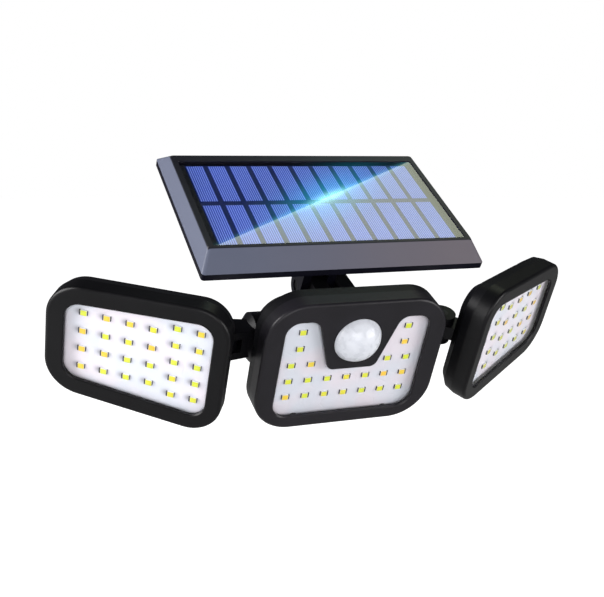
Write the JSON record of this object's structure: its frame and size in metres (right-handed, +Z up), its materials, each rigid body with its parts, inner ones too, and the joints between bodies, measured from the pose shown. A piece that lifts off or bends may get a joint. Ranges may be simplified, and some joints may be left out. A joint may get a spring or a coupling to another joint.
{
  "type": "motion sensor security light",
  "caption": "Solar wall light with a motion sensor: centre head, two hinged side heads, a tilting solar panel above and a tilting wall bracket.",
  "frame": {"origin": "middle of the bracket's wall face, between its two screw holes", "axes": "+X to the viewer's right, +Y into the wall, +Z up"},
  "size_m": [0.2732, 0.1053, 0.1473],
  "materials": {
    "black_plastic": "satin moulded ABS",
    "frame_plastic": "satin moulded ABS",
    "clear_plastic": "clear moulded polycarbonate",
    "milky_plastic": "milky moulded polyethylene lens",
    "white_board": "white solder mask on circuit board",
    "emitter": "yellow phosphor in a white body",
    "green_board": "green solder mask on circuit board",
    "steel": "zinc-plated steel",
    "cell_wrap": "heat-shrink sleeve",
    "seal_rubber": "silicone rubber",
    "button_rubber": "silicone rubber",
    "solar_tile": "blue crystalline silicon under laminate",
    "solar_backing": "near-black laminate on circuit board",
    "solar_glass": "clear laminate",
    "sensor_metal": "nickel-plated can"
  },
  "bodies": {
    "bracket": {"wall_bracket": "black_plastic", "bracket_bolt": "steel", "bracket_nut": "steel"},
    "lamp": {"rear_housing": "black_plastic", "center_bezel": "black_plastic", "center_seal": "seal_rubber", "center_window": "clear_plastic", "center_board": "white_board", "center_emitters": "emitter", "sensor_dome": "milky_plastic", "motion_sensor": "sensor_metal", "battery_cell": "cell_wrap", "battery_holder": "black_plastic", "control_board": "green_board", "power_switch": "black_plastic", "center_screws": "steel"},
    "button": {"power_button": "button_rubber"},
    "panel": {"panel_frame": "frame_plastic", "panel_cover": "black_plastic", "solar_board": "solar_backing", "solar_tiles": "solar_tile", "solar_glass": "solar_glass", "panel_screws": "steel", "panel_hinge_bolt": "steel", "panel_hinge_nut": "steel"},
    "left_knuckle": {"left_knuckle": "black_plastic", "left_swivel_retainer": "steel", "left_hinge_bolt": "steel", "left_hinge_nut": "steel"},
    "left_head": {"left_rear_shell": "black_plastic", "left_bezel": "black_plastic", "left_seal": "seal_rubber", "left_window": "clear_plastic", "left_board": "white_board", "left_emitters": "emitter", "left_screws": "steel"},
    "right_knuckle": {"right_knuckle": "black_plastic", "right_swivel_retainer": "steel", "right_hinge_bolt": "steel", "right_hinge_nut": "steel"},
    "right_head": {"right_rear_shell": "black_plastic", "right_bezel": "black_plastic", "right_seal": "seal_rubber", "right_window": "clear_plastic", "right_board": "white_board", "right_emitters": "emitter", "right_screws": "steel"}
  },
  "joints": [
    {"name": "lamp_tilt", "type": "hinge", "parent": "bracket", "child": "lamp", "pos_m": [0, -0.04055, 0.02345], "axis": [1, 0, 0], "range_deg": [-30, 30]},
    {"name": "panel_tilt", "type": "hinge", "parent": "lamp", "child": "panel", "pos_m": [0, -0.0504, 0.05475], "axis": [1, 0, 0], "range_deg": [-45, 4]},
    {"name": "power_press", "type": "slide", "parent": "lamp", "child": "button", "axis": [0, -0.9037, -0.4281], "range_m": [0, 0.0008], "stiffness_N_per_m": 400},
    {"name": "left_swivel", "type": "hinge", "parent": "lamp", "child": "left_knuckle", "pos_m": [-0.0425, -0.0679, 0.03329], "axis": [1, 0, 0], "range_deg": [-15, 60]},
    {"name": "left_yaw", "type": "hinge", "parent": "left_knuckle", "child": "left_head", "pos_m": [-0.058, -0.07132, 0.0335], "axis": [0, 0.4281, -0.9037], "range_deg": [-28, 50]},
    {"name": "right_swivel", "type": "hinge", "parent": "lamp", "child": "right_knuckle", "pos_m": [0.0425, -0.0679, 0.03329], "axis": [1, 0, 0], "range_deg": [-15, 60]},
    {"name": "right_yaw", "type": "hinge", "parent": "right_knuckle", "child": "right_head", "pos_m": [0.058, -0.07132, 0.0335], "axis": [0, -0.4281, 0.9037], "range_deg": [-28, 50]}
  ]
}
